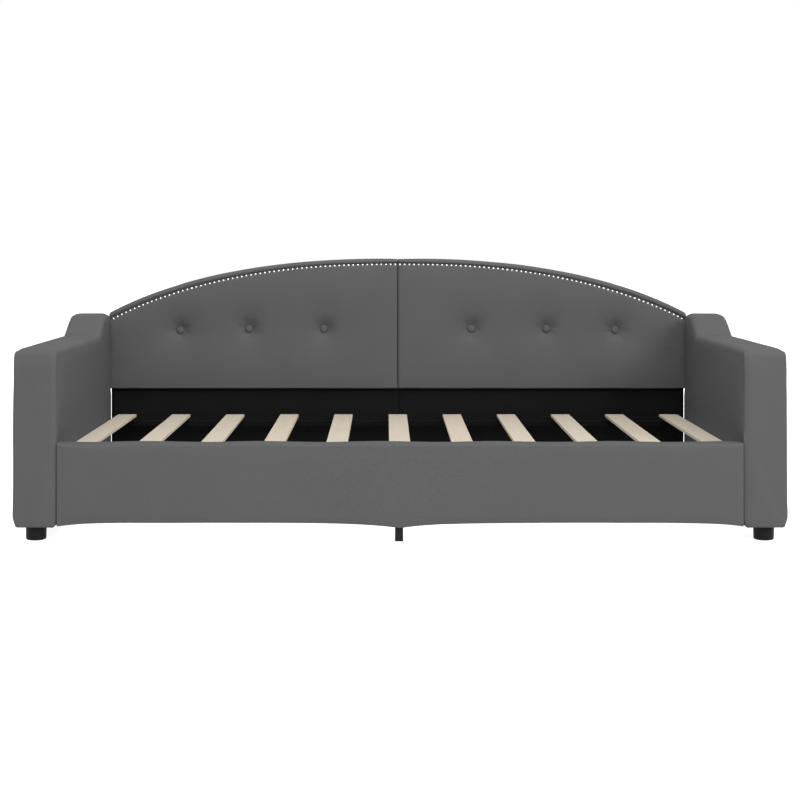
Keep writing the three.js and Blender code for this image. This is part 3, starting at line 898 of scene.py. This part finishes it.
def makeLedgers():
    for node, slot in ledgers["slots"].items():
        bm = boardFrom(node, ledgers["edge"], ledgers["cuts"], ledgers["wobble"],
                       ledgers["seed"])
        addPiece(f"strip_{node}", bm, slot, [node], smooth=False)


feet = {
    "top": 41.7 * mm, "straight": 6 * mm, "topEdge": 1 * mm, "around": 48,
    # the sole and its rounded edge, as radius and height in millimetres
    "sole": ((0, 0.5), (22, 0.5), (23, 0), (25, 0.1), (27.2, 0.8), (28.7, 2.2), (29.5, 4.4),
             (29.8, 8)),
}


def makeFeet():
    top, topEdge = feet["top"], feet["topEdge"]
    for place in ("front", "rear"):
        for word in sides:
            node = f"foot_{place}_{word}"
            low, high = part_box(node)
            radius = (high.x - low.x) / 2
            profile = [(out * mm, up * mm) for out, up in feet["sole"]]
            profile += [(radius, top - feet["straight"]), (radius, top - topEdge),
                        (radius - topEdge, top), (0, top)]
            bm = turnedShape(profile, feet["around"])
            middle = (low + high) / 2
            stand = Matrix.Translation((middle.x, middle.y, 0))
            moved(bm, stand @ Matrix.Rotation(math.pi / 2, 4, "X"))
            addPiece(f"round_{node}", bm, "black_plastic", [node])


centreLegs = {
    "leftProud": 1.3 * mm, "rightProud": 0.6 * mm, "edge": 1.5 * mm, "barFrom": 5 * mm,
    "capHeight": 7 * mm, "capProud": 0.2 * mm, "capEdge": 1.2 * mm,
}


def makeCentreLegs():
    proud = centreLegs["capProud"]
    for node in ("centre_leg_front", "centre_leg_rear"):
        low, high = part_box(node)
        low.x, high.x = low.x - centreLegs["leftProud"], high.x + centreLegs["rightProud"]
        bar = roundedBlock((low.x, low.y, centreLegs["barFrom"]), high, centreLegs["edge"], 2)
        cap = roundedBlock((low.x - proud, low.y - proud, 0),
                           (high.x + proud, high.y + proud, centreLegs["capHeight"]),
                           centreLegs["capEdge"], 2)
        addPiece(f"bar_{node}", joined([bar, cap]), "black_steel", [node], smooth=False)


lining = {
    "thickness": 0.7 * mm, "step": 15 * mm, "seam": 0.01 * mm, "half": 1.0003,
    "tuck": 5 * mm,  # how far it runs on under the pad
    "crease": 0.5 * mm, "creaseWave": 0.09, "creaseFrom": 40 * mm, "seed": 20.0,
}
rearLining = {
    "near": 3.5 * mm, "far": 0.994, "inset": 28 * mm, "behind": 0.5 * mm,
    "bulge": 0.4 * mm, "bulgeWave": 0.12, "seed": 30.0,
    "staplePitch": 68 * mm, "stapleIn": 8 * mm, "crown": 12 * mm, "wire": 0.9 * mm,
    "stapleSunk": 0.1 * mm,
}
dustCover = {"acrossCells": 8, "alongCells": 60}


def clothSheet(name, bm, stands):
    piece = addPiece(name, bm, "black_lining", stands)
    thick = piece.modifiers.new("thickness", "SOLIDIFY")
    thick.thickness = lining["thickness"]
    thick.offset = 0
    return piece


def flatSheet(low, high, step):
    # an upright grid in X and Z
    bm = bmesh.new()
    across, up = high.x - low.x, high.z - low.z
    bmesh.ops.create_grid(bm, x_segments=int(across / step), y_segments=int(up / step), size=0.5)
    middle = (low + high) / 2
    moved(bm, Matrix.Translation(middle) @ Matrix.Rotation(math.pi / 2, 4, "X")
          @ Matrix.Diagonal((across, up, 1, 1)))
    return bm


def makeFrontLinings():
    for word, side in sides.items():
        node = f"back_lining_{word}"
        low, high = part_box(node)
        low.x, high.x = sorted((lining["seam"] * side, lining["half"] * side))
        high.z += lining["tuck"]
        bm = flatSheet(low, high, lining["step"])

        def crease(co, seed=lining["seed"] + side):
            push = noise.noise(co / lining["creaseWave"] + Vector((seed, 0, 0)))
            push *= ramp(0, lining["creaseFrom"], abs(co.x))
            return co + Vector((0, lining["crease"] * push, 0))
        reshape(bm, crease)
        clothSheet(f"front_lining_{word}", bm, [node])


def liningTop(x):
    slope = archSlope(x)
    return archTop(x) - rearLining["inset"] * math.hypot(1, slope), math.atan(slope)


def makeRearLinings():
    for word, side in sides.items():
        node = f"back_rear_lining_{word}"
        low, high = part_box(node)
        near, far = rearLining["near"], rearLining["far"]
        plane = high.y - rearLining["behind"]
        bm = flatSheet(Vector((near, plane, low.z)), Vector((far, plane, high.z)),
                       lining["step"])
        tall = high.z - low.z

        def fit(co, seed=rearLining["seed"] + side):
            top = liningTop(co.x)[0]
            z = low.z + (co.z - low.z) * (top - low.z) / tall
            push = noise.noise(Vector((co.x, z, seed)) / rearLining["bulgeWave"])
            return Vector((co.x, co.y + rearLining["bulge"] * abs(push), z))
        reshape(bm, fit)
        area = sum(face.calc_area() for face in bm.faces)
        if side < 0:
            mirrored(bm)
        clothSheet(f"rear_lining_{word}", bm, [node])


# a row of staples round each rear lining
def makeStaples():
    low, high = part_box("back_rear_lining_right")
    pitch, inside = rearLining["staplePitch"], rearLining["stapleIn"]
    near, far = rearLining["near"], rearLining["far"]
    places = []
    for x in steps(near + 3 * inside, far - 3 * inside, pitch):
        top, angle = liningTop(x)
        places += [(x, low.z + inside, 0.0), (x, top - inside, angle)]
    for x in (near + inside, far - inside):
        upright = steps(low.z + 4 * inside, liningTop(x)[0] - 4 * inside, pitch)
        places += [(x, z, math.pi / 2) for z in upright]
    half, wire = rearLining["crown"] / 2, rearLining["wire"]
    plane = high.y - rearLining["stapleSunk"]
    for word, side in sides.items():
        crowns = []
        for x, z, angle in places:
            crown = roundedBlock((-half, 0, -wire / 2), (half, wire, wire / 2), wire / 4, 1)
            crowns.append(moved(crown, Matrix.Translation((side * x, plane, z))
                                @ Matrix.Rotation(-side * angle, 4, "Y")))
        addPiece(f"lining_staples_{word}", joined(crowns), "zinc", smooth=False)


def makeDustCovers():
    for word in sides:
        node = f"arm_dust_cover_{word}"
        low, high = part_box(node)
        level = (low.z + high.z) / 2
        wide, long = high.x - low.x, high.y - low.y
        bm = bmesh.new()
        bmesh.ops.create_grid(bm, x_segments=dustCover["acrossCells"],
                              y_segments=dustCover["alongCells"], size=0.5)
        moved(bm, Matrix.Translation(((low.x + high.x) / 2, 0, level))
              @ Matrix.Diagonal((wide, long, 1, 1)))
        clothSheet(f"arm_underside_{word}", bm, [node])


makeSlats()
makeTapes()
makeLedgers()
makeFeet()
makeCentreLegs()
makeFrontLinings()
makeRearLinings()
makeStaples()
makeDustCovers()
print("slats, feet and linings made")


# every node that stays as it is gets its own finish too
slotOf = {row["node"]: row["material_slot"] for row in frame["record"]["subparts"]}
for name, node in frame["nodes"].items():
    node.data.materials.clear()
    node.data.materials.append(finishes[slotOf[name]])


stage = {
    "camera": (-0.044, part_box("front_rail_cover")[0].y - 4.85, 0.874), "lens": 75.06,
    "sensor": 36, "shiftX": 0.01875, "shiftY": -0.1971, "clipEnd": 100,
    "world": 1.0, "floor": 30.0, "floorGlow": 0.88, "floorRoughness": 0.9,
    "floorDark": (0.44,) * 3, "floorLight": (0.47,) * 3,
}
lights = {
    "keySoftbox": {"place": (7.0, -7.0, 4.6), "aim": (0, 0, 0.3), "size": (4, 4), "power": 800},
    "frontSoftbox": {"place": (0, -7.5, 5.4), "aim": (0, 0, 0.3), "size": (4, 3), "power": 300},
    "overhead": {"place": (0, -1.0, 4.0), "aim": (0, 0.1, 0.3), "size": (4, 3), "power": 178},
}


def makeFloor():
    bm = bmesh.new()
    bmesh.ops.create_grid(bm, x_segments=1, y_segments=1, size=stage["floor"])
    mesh = bpy.data.meshes.new("studio_floor")
    bm.to_mesh(mesh)
    bm.free()
    floor = bpy.data.objects.new("studio_floor", mesh)
    scene.collection.objects.link(floor)
    # the paper glows, no lamp but painted light: the glow lifts the shade the bed casts on it, so
    # the floor stays white all round; its own colour is a mid grey
    paper = Finish("glowing_studio_paper", roughness=stage["floorRoughness"], **{
        "Emission Color": (1, 1, 1), "Emission Strength": stage["floorGlow"]})
    tone = paper.mixed(paper.noise(scale=2.0), stage["floorDark"], stage["floorLight"])
    mesh.materials.append(paper.finish(Base_Color=tone))


def makeLights():
    world = bpy.data.worlds.new("studio_light")
    world.use_nodes = True
    world.node_tree.nodes["Background"].inputs["Color"].default_value = (1, 1, 1, 1)
    world.node_tree.nodes["Background"].inputs["Strength"].default_value = stage["world"]
    scene.world = world

    for name, light in lights.items():
        lamp = bpy.data.lights.new(name, "AREA")
        lamp.shape = "RECTANGLE"
        lamp.size, lamp.size_y = light["size"]
        lamp.energy = light["power"]
        holder = bpy.data.objects.new(name, lamp)
        scene.collection.objects.link(holder)
        holder.location = light["place"]
        aim = Vector(light["aim"]) - Vector(light["place"])
        holder.rotation_euler = aim.to_track_quat("-Z", "Y").to_euler()


def makeCamera():
    camera = bpy.data.cameras.new("view")
    camera.lens = stage["lens"]
    camera.sensor_width = stage["sensor"]
    camera.shift_x, camera.shift_y = stage["shiftX"], stage["shiftY"]
    camera.clip_end = stage["clipEnd"]
    holder = bpy.data.objects.new("view", camera)
    scene.collection.objects.link(holder)
    holder.location = stage["camera"]
    holder.rotation_euler = (math.pi / 2, 0, 0)
    scene.camera = holder
    scene.view_settings.view_transform = "Standard"


makeFloor()
makeLights()
makeCamera()
print("stage set")
